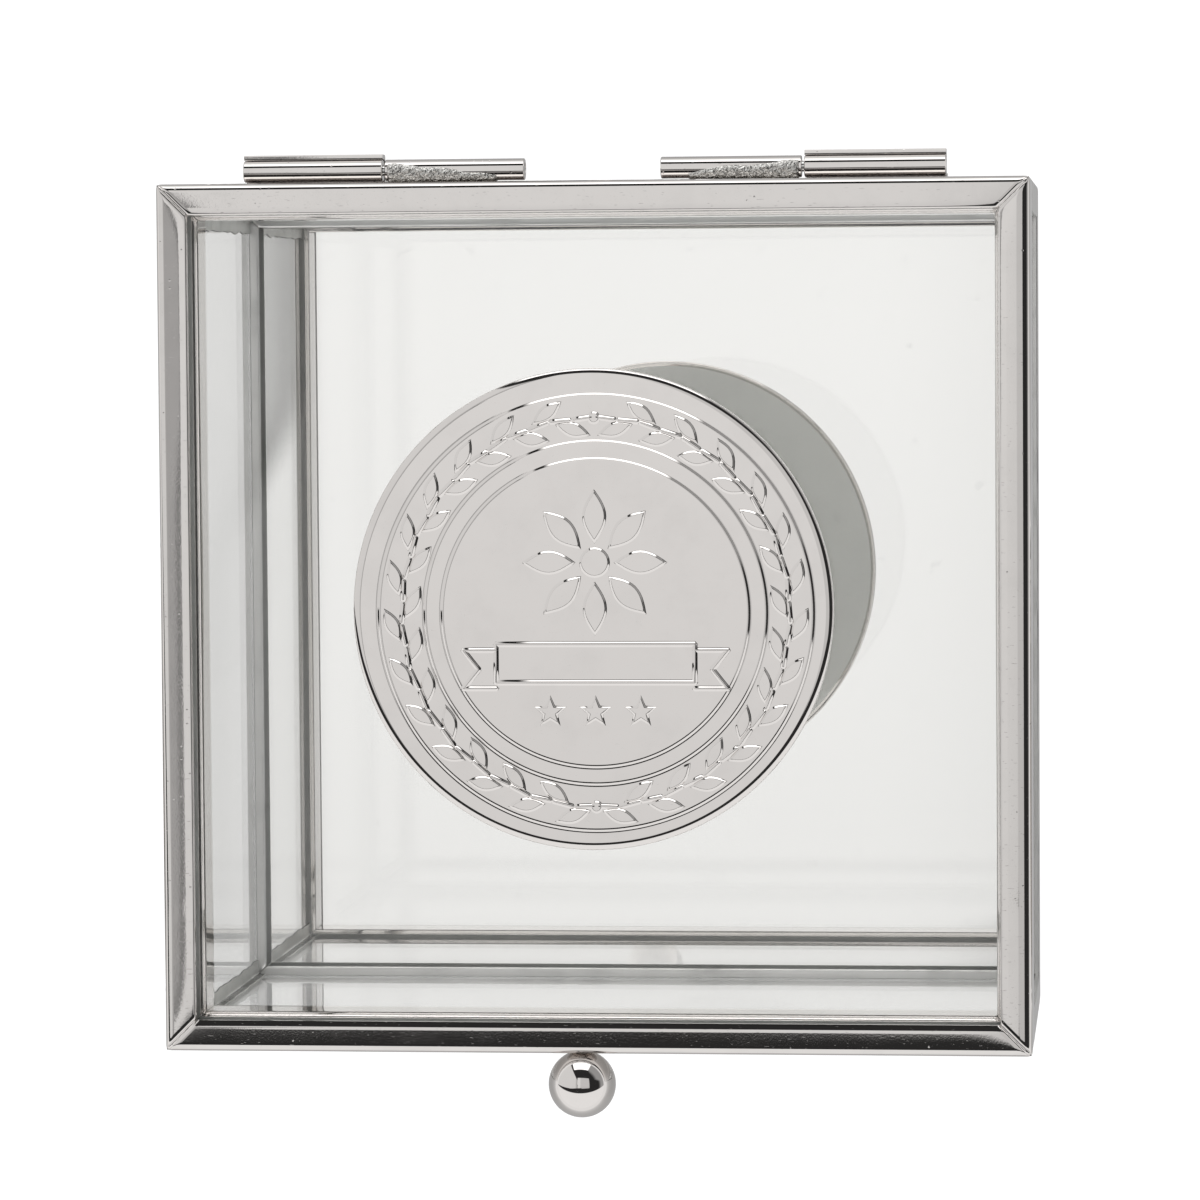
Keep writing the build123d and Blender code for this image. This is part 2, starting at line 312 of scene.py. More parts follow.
plate = metal_material("polished_plate", (0.69, 0.664, 0.644), 0.020, 0.005, 0.0012, 0.014, 0.05)
bright = metal_material("bright_plate", (0.72, 0.692, 0.671), 0.014, 0.002, 0.0001, 0.0006, 0.3)
seam = metal_material("tinned_seam", (0.58, 0.58, 0.56), 0.34, 0.03, 0.003, 0.02, 0.4)
# Near-black metal that is painted shade: the dark wedge on the glass side of the corner posts and on one
# side of the corner seams.
painted_shade_metal = metal_material("painted_shade_back", (0.16, 0.16, 0.15), 0.22, 0.02, 0.002, 0.01, 0.5)
wire = metal_material("drawn_wire", (0.60, 0.60, 0.59), 0.10, 0.01, 0.003, 0.004, 0.4)
unpolished = metal_material("unpolished_plate", (0.62, 0.615, 0.60), 0.42, 0.02, 0.002, 0.01, 0.3)
satin = metal_material("satin_plate", (0.72, 0.715, 0.70), 0.28, 0.010, 0.0010, 0.010, 0.10)
glass = glass_material("clear_glass", (0.996, 0.995, 0.991), (0.80, 0.815, 0.78), 3.0)
edge_glass = glass_material("ground_glass_edge", (0.93, 0.94, 0.93), (0.80, 0.815, 0.78), 3.0, True)
silver = silver_material("silvered_back")
solder = solder_material("rough_solder")
felt = felt_material("pressed_felt")
adhesive = adhesive_material("foam_tape")


# Mesh helpers
def make(name, verts, faces, body, materials, nodes, sharp):
    """A mesh piece from points in millimetres that rides on a body."""
    mesh = bpy.data.meshes.new(name)
    mesh.from_pydata([(x * MM, y * MM, z * MM) for x, y, z in verts], [], faces)
    mesh.validate()
    return dress(bpy.data.objects.new(name, mesh), body, materials, nodes, sharp)


def dress(obj, body, materials, nodes, sharp=None):
    """Gives a finished mesh object its shading, materials and body, and hides its CAD nodes. Bends above
    the angle sharp, in degrees, stay sharp, and a piece without that angle is shaded flat."""
    bpy.context.scene.collection.objects.link(obj)
    bm = bmesh.new()
    bm.from_mesh(obj.data)
    bmesh.ops.recalc_face_normals(bm, faces=bm.faces)
    bm.to_mesh(obj.data)
    bm.free()
    for polygon in obj.data.polygons:
        polygon.use_smooth = sharp is not None
    if sharp is not None:
        obj.data.set_sharp_from_angle(angle=math.radians(sharp))
    for m in materials if isinstance(materials, (list, tuple)) else [materials]:
        obj.data.materials.append(m)
    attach(obj, body)
    if nodes:
        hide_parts(*nodes)
    return obj


def arc(cx, cy, radius, start, end, steps):
    """Points on an arc between two angles in degrees, ends included."""
    out = []
    for i in range(steps + 1):
        a = math.radians(start + (end - start) * i / steps)
        out.append((cx + radius * math.cos(a), cy + radius * math.sin(a)))
    return out


def line(a, b, steps):
    """Points between a and b, neither included."""
    return [(a[0] + (b[0] - a[0]) * i / steps, a[1] + (b[1] - a[1]) * i / steps) for i in range(1, steps)]


def grid_faces(rows, columns, base=0):
    """Quads between closed rows of points, the first of which has the number base."""
    faces = []
    for r in range(rows - 1):
        near, far = base + r * columns, base + (r + 1) * columns
        for c in range(columns):
            d = (c + 1) % columns
            faces.append((near + c, near + d, far + d, far + c))
    return faces


def tube_faces(rows, columns, base=0):
    """The same quads with a face over each end."""
    last = base + (rows - 1) * columns
    ends = [tuple(range(base, base + columns)), tuple(reversed(range(last, last + columns)))]
    return grid_faces(rows, columns, base) + ends


def hills(x, y, z, size):
    """Smooth noise between -1 and 1 with hills of this size, from a fixed field."""
    return noise.noise(Vector((x / size, y / size, z / size)))


# Rails
SIDES = {
    "front": (Vector((0, -HALF, 0)), Vector((1, 0, 0)), Vector((0, 1, 0))),
    "right": (Vector((HALF, 0, 0)), Vector((0, 1, 0)), Vector((-1, 0, 0))),
    "back": (Vector((0, HALF, 0)), Vector((-1, 0, 0)), Vector((0, -1, 0))),
    "left": (Vector((-HALF, 0, 0)), Vector((0, -1, 0)), Vector((1, 0, 0))),
}


def lid_profile(reach, rolled):
    """Channel round the lid glass, as (inward, up) points: lower lip, outer face, rounded edge,
    top and upper lip, then the hollow. The reach is how far the rounded edge comes in over the
    top; a rolled lip slopes down to the glass."""
    w, h, s = LID_FACE, LID_TOP - LID_BOTTOM, SHEET
    r, q = LID_EDGE_R, 0.14
    lower = arc(w - q, q, q, 0, -90, 3)
    outer = arc(q, q, q, 270, 180, 3) + line((0, q), (0, h - r), 4)
    bend = [(reach + (x - r) * reach / r, y) for x, y in arc(r, h - r, r, 180, 90, 14)]
    if rolled:
        slope = ((0.59, 0.0), (0.55, 0.005), (0.50, 0.020), (0.42, 0.048), (0.28, 0.102), (0.14, 0.158),
                 (0.0, 0.215))
        lip = [(w - inset, h - drop) for inset, drop in slope]
    else:
        lip = arc(w - 0.2, h - 0.2, 0.2, 90, 0, 6)
    top = line((reach, h), (w - 0.66, h), 11)
    return lower + outer + bend + top + lip, [(w, h - s), (s, h - s), (s, s), (w, s)]


def top_profile():
    """Channel that hangs over the upper edge of a wall pane, and its hollow."""
    w, h, s, q, p = TOP_RAIL_WIDTH, TOP_RAIL_TOP - TOP_RAIL_BOTTOM, SHEET, 0.15, 0.8
    outer = arc(0.1, 0.1, 0.1, 270, 180, 2) + line((0, 0.1), (0, h - q), 5) + arc(q, h - q, q, 180, 90, 4)
    inner = line((q, h), (w - p, h), 5) + arc(w - p, h - p, p, 90, 0, 14) + line((w, h - p), (w, 0.1), 5)
    hollow = [(w - s, 0), (w - s, h - s), (s, h - s), (s, 0)]
    return outer + inner + arc(w - 0.1, 0.1, 0.1, 0, -90, 2), hollow


def base_profile():
    """Channel round the mirror, with a rounded lower edge, and its hollow."""
    w, h, s, r, q = BASE_FACE, BASE_TOP, SHEET, 0.5, 0.2
    outer = [(w, 0)] + arc(r, r, r, 270, 180, 8) + line((0, r), (0, h - q), 3)
    outer += arc(q, h - q, q, 180, 90, 4)
    top = line((q, h), (w - q, h), 7) + arc(w - q, h - q, q, 90, 0, 4)
    return outer + top, [(w, h - s), (s, h - s), (s, s), (w, s)]


def rail(name, side, shape, bottom, body, crown=None, seed=0.0, wave=0.006, metal=plate):
    """A rail with mitred ends: the profile swept along its side, with the sheet's own waves.
    The last third of a millimetre turns down into the mitre. The hollow stays unpolished."""
    origin, along, inward = SIDES[side]
    shell, hollow = shape
    profile = shell + hollow
    steps = 96
    verts = []
    for i in range(steps + 1):
        t = -1 + 2 * i / steps
        t = math.copysign(1 - (1 - abs(t)) ** 1.6, t)
        for a, b in profile:
            end = HALF - MITRE_GAP - a
            s = t * end
            near = end - abs(s)
            pinch = 0.14 * max(0.0, 1 - near / 0.38) ** 2
            p = origin + along * s + inward * a
            swell = wave * hills(p.x + seed, p.y, b * 0.3, 9.0)
            swell += 0.35 * wave * hills(p.x, p.y + seed, b, 3.1)
            push = pinch + max(0.0, wave - swell) if a < 0.05 else 0.0
            drop = pinch if b > 0.5 else 0.0
            if crown is not None:
                drop += crown(side, s, a, b, near)
            verts.append((p.x + inward.x * push, p.y + inward.y * push, bottom + b - drop))
    count = len(profile)
    faces = tube_faces(steps + 1, count)
    obj = make(name, verts, faces, body, [metal, unpolished], [name], 32)
    for i in range(steps * count):
        if len(shell) <= i % count < count - 1:
            obj.data.polygons[i].material_index = 1


# How fast the top of each lid rail falls off towards the glass, from its highest line
CROWN_LINE = 1.35
LID_FALL = {"front": 0.0005, "right": 0.0030, "back": 0.0026, "left": 0.0031}
# How much each rail turns in beside its two mitres, at the start and at the end of its run
LID_TURN = {
    "front": (0.001, 0.008),
    "right": (0.004, 0.010),
    "back": (0.010, 0.006),
    "left": (0.008, 0.010),
}


def dip(y):
    """A long shallow dip in the side rails of the lid, which rise again to the front corners."""
    rise = max(0.0, min(1.0, (-27.0 - y) / 12.0))
    fade = max(0.0, min(1.0, (25.0 - y) / 45.0))
    return 0.17 * (1 - rise) * fade * fade * (3 - 2 * fade)


def back_dip(x):
    """The back rail rises in the same way to its left corner."""
    rise = max(0.0, min(1.0, (-22.0 - x) / 17.0))
    fade = max(0.0, min(1.0, (30.0 - x) / 45.0))
    return 0.15 * (1 - rise * rise) * fade * fade * (3 - 2 * fade)


def lid_crown(side, s, a, b, near):
    """How far the top of a lid rail falls below its highest line: a slight crown, rolled off
    towards the glass, and turned in a little more beside each mitre."""
    if b < LID_TOP - LID_BOTTOM - 0.55:
        return 0.0
    fall = (LID_FALL[side] if a > CROWN_LINE else 0.0006) * (a - CROWN_LINE) ** 2
    if side == "front":
        fall *= 1.0 + 7.0 * (max(0.0, s) / HALF) ** 2
    turn = LID_TURN[side][1 if s > 0 else 0] * math.exp(-max(0.0, near - 0.4) / 1.6)
    ripple = 0.0016 * hills(s + 40 * len(side), a * 0.4, 0.0, 7.5)
    ripple += 0.0003 * hills(s, 7.0 * len(side), a, 1.9)
    low = {"right": dip(s), "left": dip(-s), "back": back_dip(-s), "front": 0.0}[side]
    return fall + turn * a + 0.003 + ripple + low


for index, side in enumerate(SIDES):
    lid_shape = lid_profile(1.2 if side == "right" else LID_EDGE_R, side == "front")
    rail(f"lid_rail_{side}", side, lid_shape, LID_BOTTOM, "lid", lid_crown, 11.0 * index)
    rail(f"top_rail_{side}", side, top_profile(), TOP_RAIL_BOTTOM, "box", None, 5.0 + 7.0 * index)
    rail(f"base_rail_{side}", side, base_profile(), 0.0, "box", None, 3.0 + 13.0 * index, 0.012, satin)


# Panes
PANE_CHAMFER = 0.12


def pane(name, node, body, materials, back=None):
    """A pane with ground edges in the room of its CAD node. Its materials are for the faces, the
    edges and, where back gives the number of one, the underside."""
    lo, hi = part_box(node)
    bm = bmesh.new()
    bmesh.ops.create_cube(bm, size=1.0)
    for v in bm.verts:
        v.co = Vector([(lo[i] + hi[i]) / 2 + v.co[i] * (hi[i] - lo[i]) for i in range(3)])
    bmesh.ops.bevel(bm, geom=list(bm.edges), offset=PANE_CHAMFER * MM, segments=1, affect="EDGES")
    size = hi - lo
    thin = min(range(3), key=lambda i: size[i])
    bm.normal_update()
    for f in bm.faces:
        f.material_index = 0 if abs(f.normal[thin]) > 0.99 else 1
        if back is not None and f.normal[thin] < -0.99:
            f.material_index = back
    mesh = bpy.data.meshes.new(name)
    bm.to_mesh(mesh)
    bm.free()
    dress(bpy.data.objects.new(name, mesh), body, materials, [node])


for side in SIDES:
    pane(f"wall_pane_{side}", f"wall_glass_{side}", "box", [glass, edge_glass])
pane("lid_pane", "lid_glass", "lid", [glass, edge_glass])
pane("mirror_pane", "base_mirror", "box", [glass, edge_glass, silver], back=2)


# Lathed bodies and hinges
def lathe(name, profile, origin, axis, body, material, nodes, segments, sharp=35):
    """A body turned about an axis, from (along, radius) pairs, with both ends closed."""
    z = Vector(axis).normalized()
    x = z.orthogonal().normalized()
    y = z.cross(x)
    verts = []
    for along, radius in profile:
        for i in range(segments):
            a = 2 * math.pi * i / segments
            p = Vector(origin) + z * along + (x * math.cos(a) + y * math.sin(a)) * radius
            verts.append(tuple(p))
    faces = tube_faces(len(profile), segments)
    make(name, verts, faces, body, material, nodes, sharp)


def knuckle_radius(angle):
    """Outer radius of a rolled tube, a little flattened on top; the angle is from upright."""
    flat = math.exp(-((angle - math.radians(4.0)) / math.radians(13.0)) ** 2)
    return KNUCKLE_R * (1.0 - 0.035 * flat)


def knuckle(name, x0, x1, bore, body):
    """Rolled tube with slightly broken ends. A row is (along, inner radius, outer offset); an
    inner radius of 0 stands for the outside."""
    segments, q, length = 120, 0.07, x1 - x0
    rows = [(0.0, bore + q, 0.0), (0.0, 0.0, -q), (q, 0.0, 0.0), (length - q, 0.0, 0.0), (length, 0.0, -q),
            (length, bore + q, 0.0), (length - q, bore, 0.0), (q, bore, 0.0)]
    verts = []
    for along, inner, off in rows:
        for i in range(segments):
            angle = 2 * math.pi * i / segments
            angle = angle if angle <= math.pi else angle - 2 * math.pi
            r = inner if inner else knuckle_radius(angle) + off
            verts.append((x0 + along, PIN_Y + r * math.sin(angle), PIN_Z + r * math.cos(angle)))
    faces = grid_faces(len(rows), segments)
    last = (len(rows) - 1) * segments
    faces += [(last + i, last + (i + 1) % segments, (i + 1) % segments, i) for i in range(segments)]
    make(name, verts, faces, body, plate, [name], 35)


def pin(name, x0, x1):
    """Wire with lightly domed ends, inside the length of its CAD node."""
    dome = [(0, 0.12), (0.03, 0.30), (0.12, PIN_R - 0.02), (0.22, PIN_R)]
    loop = dome + [(x1 - x0 - along, radius) for along, radius in reversed(dome)]
    lathe(name, loop, (x0, PIN_Y, PIN_Z), (1, 0, 0), "box", wire, [name], 48)


def saddle_outline():
    """Gutter, as (y, z) points: leaf on the back rail, floor round the tube, and the upright
    rear wall."""
    back = KNUCKLE_R + TUBE_TO_RAIL
    inner = KNUCKLE_R + TUBE_TO_SADDLE
    outer = inner + SHEET
    opened = math.radians(OPEN_ANGLE)
    wall = (back - 0.1 + outer * math.cos(opened)) / math.sin(opened)
    q, foot = 0.06, -outer - SADDLE_LEAF
    pts = [(-back, foot + q), (-back + q, foot), (-back + SHEET - q, foot), (-back + SHEET, foot + q)]
    pts += [(-back + SHEET, -outer - 0.15), (-back + SHEET + 0.15, -outer)]
    pts += arc(outer - SHEET, -outer + SHEET, SHEET, -90, 0, 8)
    pts += [(outer, wall - 0.12), (outer - 0.12, wall), (inner + 0.12, wall), (inner, wall - 0.12)]
    pts += [(inner, -inner + 0.1), (inner - 0.1, -inner), (-back, -inner)]
    return [(PIN_Y + y, PIN_Z + z) for y, z in pts]


def saddle(name, x0, x1):
    """The gutter drawn out along X."""
    outline = saddle_outline()
    verts = [(x, y, z) for x in (x0, x1) for y, z in outline]
    make(name, verts, tube_faces(2, len(outline)), "box", plate, [name], 35)


for name, hand in (("left", -1), ("right", 1)):
    near = HINGE_MIDDLE + KNUCKLE_GAP / 2
    far = near + KNUCKLE_LENGTH
    x0, x1 = sorted((hand * near, hand * far))
    knuckle(f"hinge_box_knuckle_{name}", x0, x1, PIN_R, "box")
    saddle(f"hinge_saddle_{name}", x0, x1)
    near = HINGE_MIDDLE - KNUCKLE_GAP / 2
    inner_end = near - KNUCKLE_LENGTH
    x0, x1 = sorted((hand * near, hand * inner_end))
    knuckle(f"hinge_lid_knuckle_{name}", x0, x1, BORE_R, "lid")
    x0, x1 = sorted((hand * inner_end, hand * far))
    pin(f"hinge_pin_{name}", x0, x1)

# The solder starts a little beside the split between two knuckles
SOLDER_FROM_SPLIT = 0.35
SOLDER_LENGTH = 10.2


def hinge_lump(name, hand):
    """Rough solder from the back rail of the lid up over its knuckle, thickest at the split. It
    runs from the angle first to the angle last, in degrees, stops at the wall of the rail, and its
    inner face lies within the tube at the radius core."""
    start = HINGE_MIDDLE - SOLDER_FROM_SPLIT
    end = start - SOLDER_LENGTH
    first, wall, core = 200, -1.13, 0.84
    steps, across = 150, 34
    verts = []
    for i in range(steps + 1):
        t = i / steps
        x = start + (end - start) * t
        fade = min(1.0, t / 0.02, (1 - t) / 0.06) ** 0.5 if 0 < t < 1 else 0.0
        last = 90 - (38 - 62 * t + 16 * hills(x, 3.0 * hand, 1.0, 1.6))
        thick = (0.05 + 0.26 * fade) * (1.0 - 0.35 * t)
        row = []
        for k in range(across + 1):
            u = k / across
            angle = first - (first - last) * u
            edge = min(1.0, (1 - u) / 0.18) ** 0.5
            r = KNUCKLE_R - 0.06 + thick * edge
            y = r * math.cos(math.radians(angle))
            z = r * math.sin(math.radians(angle))
            y = max(y, wall)
            rough = 0.10 * hills(x, y * 1.3, z * 1.3, 0.42) + 0.06 * hills(x + 9, y, z, 0.17)
            n = Vector((y, z)).normalized()
            y += n.x * rough * fade * edge
            z += n.y * rough * fade * edge
            row.append((hand * x, PIN_Y + max(y, wall), PIN_Z + z))
        verts += row
        for k in reversed(range(0, across + 1, 2)):
            u = k / across
            angle = math.radians(first - (first - last) * u)
            verts.append((hand * x, PIN_Y + core * math.cos(angle), PIN_Z + core * math.sin(angle)))
    faces = tube_faces(steps + 1, len(verts) // (steps + 1))
    make(name, verts, faces, "lid", solder, [name], 60)


hinge_lump("hinge_solder_left", -1)
hinge_lump("hinge_solder_right", 1)


# Knob
def knob():
    """Ball with a flat against the front rail of the lid."""
    flat = math.degrees(math.acos((KNOB_R - 0.1) / KNOB_R))
    profile = [(-KNOB_R + 0.1, 0.02)]
    steps = 72
    for i in range(steps + 1):
        a = math.radians(flat + (179.2 - flat) * i / steps)
        profile.append((-KNOB_R * math.cos(a), KNOB_R * math.sin(a)))
    lathe("knob_ball", profile, KNOB, (0, -1, 0), "lid", bright, ["knob_ball"], 128, 60)


knob()


# Medallion
# The disc rises inward by a small step at each ring, and its relief is struck a little off the middle
STEPS = (19.95, 15.7, 14.1)
STEP = 0.13
RIM_DROP = 0.3
STRUCK = (0.3, -0.25)
GARLAND_R = 17.75
ROSETTE_Y = 4.6
RIBBON_Y = -4.6
STARS_Y = -9.05


def level(radius):
    """Height of the face at this distance from the middle."""
    return FIELD - RIM_DROP + STEP * sum(1 for ring in STEPS if radius < ring)


def medallion_profile():
    """Half section of the pressed disc: flat underside, sloping shoulder, steps rising inward."""
    pts = [(0.02, 0.0), (MEDAL_R - 1.0, 0.0), (MEDAL_R - 0.3, 0.0)]
    pts += arc(MEDAL_R - 0.2, 0.2, 0.2, 270, 360, 4)
    shoulder = ((0.0, 0.34), (0.012, 0.27), (0.045, 0.215), (0.10, 0.17), (0.18, 0.122), (0.27, 0.078),
                (0.36, 0.044), (0.45, 0.021), (0.54, 0.008), (0.64, 0.0), (0.70, 0.0), (0.85, 0.0))
    flank = ((0.25, 0.0), (0.11, 0.0), (0.09, 0.03), (0.075, 0.12), (0.0, 0.5), (-0.075, 0.88),
             (-0.09, 0.97), (-0.11, 1.0), (-0.25, 1.0))
    rim = level(MEDAL_R)
    pts += [(MEDAL_R - inset, rim - drop) for inset, drop in shoulder]
    for ring in STEPS:
        low = level(ring + 0.5)
        pts += [(ring + w, low + STEP * h) for w, h in flank]
    pts += [(r, level(r)) for r in (13.0, 9.0, 6.0, 3.0, 0.02)]
    return pts


def emboss(outline):
    """A raised shape from its outline: its flank rises from foot outside it to foot inside it."""
    height, foot = 0.15, 0.108
    n = len(outline)
    pts = [Vector(p) for p in outline]
    area = sum(pts[i].x * pts[(i + 1) % n].y - pts[(i + 1) % n].x * pts[i].y for i in range(n))
    base = level(sum(p.length for p in pts) / n)
    if area < 0:
        pts.reverse()
    normals = []
    for i in range(n):
        a = (pts[i] - pts[i - 1]).normalized()
        b = (pts[(i + 1) % n] - pts[i]).normalized()
        na, nb = Vector((a.y, -a.x)), Vector((b.y, -b.x))
        m = na + nb
        m = m / max(0.35, m.length_squared / 2) if m.length > 1e-6 else na
        normals.append(m)
    rings = [(foot * 1.3, -0.03), (foot, 0.0), (foot * 0.75, 0.10), (foot * 0.25, 0.37),
             (-foot * 0.25, 0.64), (-foot * 0.7, 0.91), (-foot, 1.0), (-foot * 1.3, 1.0)]
    verts = []
    for off, h in rings:
        for p, m in zip(pts, normals):
            q = p + m * off
            verts.append((q.x, q.y, base + height * h))
    faces = grid_faces(len(rings), n)
    top = (len(rings) - 1) * n
    faces.append(tuple(top + i for i in range(n)))
    faces.append(tuple(reversed(range(n))))
    return verts, faces


def lens(cx, cy, heading, length, width, steps=9):
    """Pointed leaf outline that starts at (cx, cy)."""
    out = []
    for i in range(steps):
        t = i / steps
        out.append((length * t, -width / 2 * math.sin(math.pi * t)))
    for i in range(steps):
        t = 1 - i / steps
        out.append((length * t, width / 2 * math.sin(math.pi * t)))
    c, s = math.cos(heading), math.sin(heading)
    return [(cx + x * c - y * s, cy + x * s + y * c) for x, y in out]


def disc(cx, cy, radius, count):
    """Round outline with this many points."""
    turns = [2 * math.pi * k / count for k in range(count)]
    return [(cx + radius * math.cos(a), cy + radius * math.sin(a)) for a in turns]


def garland_shapes():
    """Two sprays of leaves that rise from the bottom to the top, on a wavy stem of short pieces."""
    shapes = []
    pairs = 27
    step = 180.0 / pairs
    length, width = 3.1, 1.2
    for side in (-1, 1):
        for number in range(pairs - 1):
            turned = math.radians(-90.0 + side * step * (number + 1))
            outward = 1 if number % 2 == 0 else -1
            radius = GARLAND_R + outward * 0.95
            heading = turned + math.radians(side * 90.0 - side * outward * 24.0)
            cx = radius * math.cos(turned) - length / 2 * math.cos(heading)
            cy = radius * math.sin(turned) - length / 2 * math.sin(heading)
            shapes.append(lens(cx, cy, heading, length, width))
    for number in range(2 * pairs):
        a, b = (math.radians(-90.0 + step * (number + k)) for k in (0.08, 0.92))
        lean = 0.08 if number % 2 == 0 else -0.08
        start, end = [(r * math.cos(t), r * math.sin(t))
                      for t, r in ((a, GARLAND_R - lean), (b, GARLAND_R + lean))]
        shapes.append(thick_line(start, end, 0.32))
    shapes += [disc(0.0, height, 0.5, 16) for height in (-GARLAND_R, GARLAND_R)]
    return shapes


def rosette_shapes():
    """Round heart with eight petals."""
    petals, start, length, width = 8, 1.9, 4.6, 2.0
    shapes = [disc(0.0, ROSETTE_Y, 1.3, 24)]
    for number in range(petals):
        a = 2 * math.pi * number / petals
        shapes.append(lens(start * math.cos(a), ROSETTE_Y + start * math.sin(a), a, length, width, 12))
    return shapes


def star_shape(cx, cy, radius, waist):
    """Five-pointed star; the waist is a share of the radius."""
    pts = []
    for k in range(10):
        r = radius * (1 if k % 2 == 0 else waist)
        a = math.radians(90 + 36 * k)
        pts.append((cx + r * math.cos(a), cy + r * math.sin(a)))
    return pts


def thick_line(a, b, width):
    """Outline of a straight raised line."""
    a, b = Vector(a), Vector(b)
    d = (b - a).normalized()
    n = Vector((-d.y, d.x)) * width / 2
    e = d * width / 2
    return [tuple(a - n), tuple(b - n), tuple(b + e), tuple(b + n), tuple(a + n), tuple(a - e)]


def ribbon_shapes():
    """Blank ribbon drawn by its raised border, with a notched tail behind each end."""
    y, w, h, tail_drop = RIBBON_Y, 9.1, 1.75, 0.55
    border, tail = 0.34, 0.30
    shapes = [thick_line((-w, y + h), (w, y + h), border), thick_line((-w, y - h), (w, y - h), border)]
    for s in (-1, 1):
        x0, x1, notch = s * w, s * (w + 3.0), s * (w + 1.6)
        low, high = y - h - tail_drop, y + h - tail_drop
        middle = (notch, (low + high) / 2)
        lines = (((x0, y - h), (x0, y + h)), ((x0, low), (x1, low)), ((x0, high), (x1, high)),
                 ((x1, low), middle), (middle, (x1, high)))
        shapes += [thick_line(a, b, tail) for a, b in lines]
    return shapes


def medallion():
    """The pressed disc with its relief, as one mesh. Its face is off the middle like the relief,
    all but the rim."""
    mx, my = MEDAL
    sx, sy = STRUCK
    verts = []
    profile = medallion_profile()
    segments = 192
    for r, h in profile:
        off = max(0.0, min(1.0, MEDAL_R - 0.9 - r))
        for i in range(segments):
            a = 2 * math.pi * i / segments
            x = mx + off * sx + r * math.cos(a)
            y = my + off * sy + r * math.sin(a)
            verts.append((x, y, MEDAL_BOTTOM + h))
    faces = grid_faces(len(profile), segments)
    faces.append(tuple(range(segments)))
    faces.append(tuple((len(profile) - 1) * segments + i for i in range(segments)))
    shapes = garland_shapes() + rosette_shapes() + ribbon_shapes()
    shapes += [star_shape(4.15 * k, STARS_Y, 1.35, 0.45) for k in (-1, 0, 1)]
    for shape in shapes:
        v, f = emboss(shape)
        base = len(verts)
        verts += [(mx + sx + x, my + sy + y, MEDAL_BOTTOM + z) for x, y, z in v]
        faces += [tuple(base + k for k in face) for face in f]
    make("medallion_plate", verts, faces, "lid", bright, ["medallion_plate"], 50)


def medallion_pad():
    """Foam tape with slightly rounded edges."""
    low, high, q, r = 0.02, 0.19, 0.08, PAD_R
    profile = [(low, 0.05), (low, r - q), (0.05, r), (0.17, r), (high, r - q), (high, 0.05)]
    lathe("medallion_pad", profile, (*MEDAL, PAD_BOTTOM), (0, 0, 1), "lid", adhesive,
          ["medallion_pad"], 128)


medallion()
medallion_pad()


# Felt pad
def felt_pad():
    """Felt with softened, slightly uneven edges. A layer is (height, inset)."""
    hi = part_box("base_pad")[1]
    x1, y1, top = hi.x / MM, hi.y / MM, hi.z / MM - 0.002
    n, layers = 60, ((0.0, 0.10), (0.10, 0.0), (0.45, 0.0), (top, 0.08))
    verts = []
    for z, inset in layers:
        for side in range(4):
            for i in range(n):
                t = -1 + 2 * i / n
                wob = 0.05 * (1 + hills(t * 30 + 7 * side, z, side, 2.2)) + inset
                x, y = x1 - wob, y1 - wob
                p = ((t * x, -y), (x, t * y), (-t * x, y), (-x, -t * y))[side]
                verts.append((p[0], p[1], z))
    make("felt_pad", verts, tube_faces(len(layers), 4 * n), "box", felt, ["base_pad"], 50)


felt_pad()


# Mitre solder
def mitre_beads():
    """Raised run of solder along each mitre on top of the lid, from the outer corner inward."""
    verts, faces = [], []
    for sx, sy in ((1, 1), (1, -1), (-1, 1), (-1, -1)):
        steps, across, rise = 30, 8, 0.17
        base = len(verts)
        for i in range(steps + 1):
            t = i / steps
            a = 0.25 + (LID_FACE - 0.35) * t
            width = 0.19 + 0.05 * hills(a * 3, sx * 5 + sy * 9, 0.0, 1.0)
            if i in (0, steps):
                width *= 0.5
            for k in range(across + 1):
                w = -1 + 2 * k / across
                h = rise * math.sqrt(max(0.0, 1 - w * w)) + 0.02 * hills(a * 4, w * 2, sx + 3 * sy, 1.0)
                off = w * width * math.sqrt(0.5)
                x = sx * (HALF - a + off)
                y = sy * (HALF - a - off)
                z = LID_TOP - rise - 0.004 * max(0.0, a - CROWN_LINE) ** 2 - 0.012 * a + h
                if a < LID_EDGE_R:
                    z -= LID_EDGE_R - math.sqrt(max(0.0, LID_EDGE_R ** 2 - (LID_EDGE_R - a) ** 2))
                verts.append((x, y, z))
            verts.append((sx * (HALF - a), sy * (HALF - a), LID_TOP - 0.4 - (0.4 if a < 0.6 else 0.0)))
        faces += tube_faces(steps + 1, across + 2, base)
    make("lid_mitre_solder", verts, faces, "lid", bright, (), 50)


mitre_beads()


# Corners of the box
def signs(row, column):
    """On which side of the middle a corner is, in X and in Y."""
    return (-1 if column == "left" else 1), (-1 if row == "front" else 1)


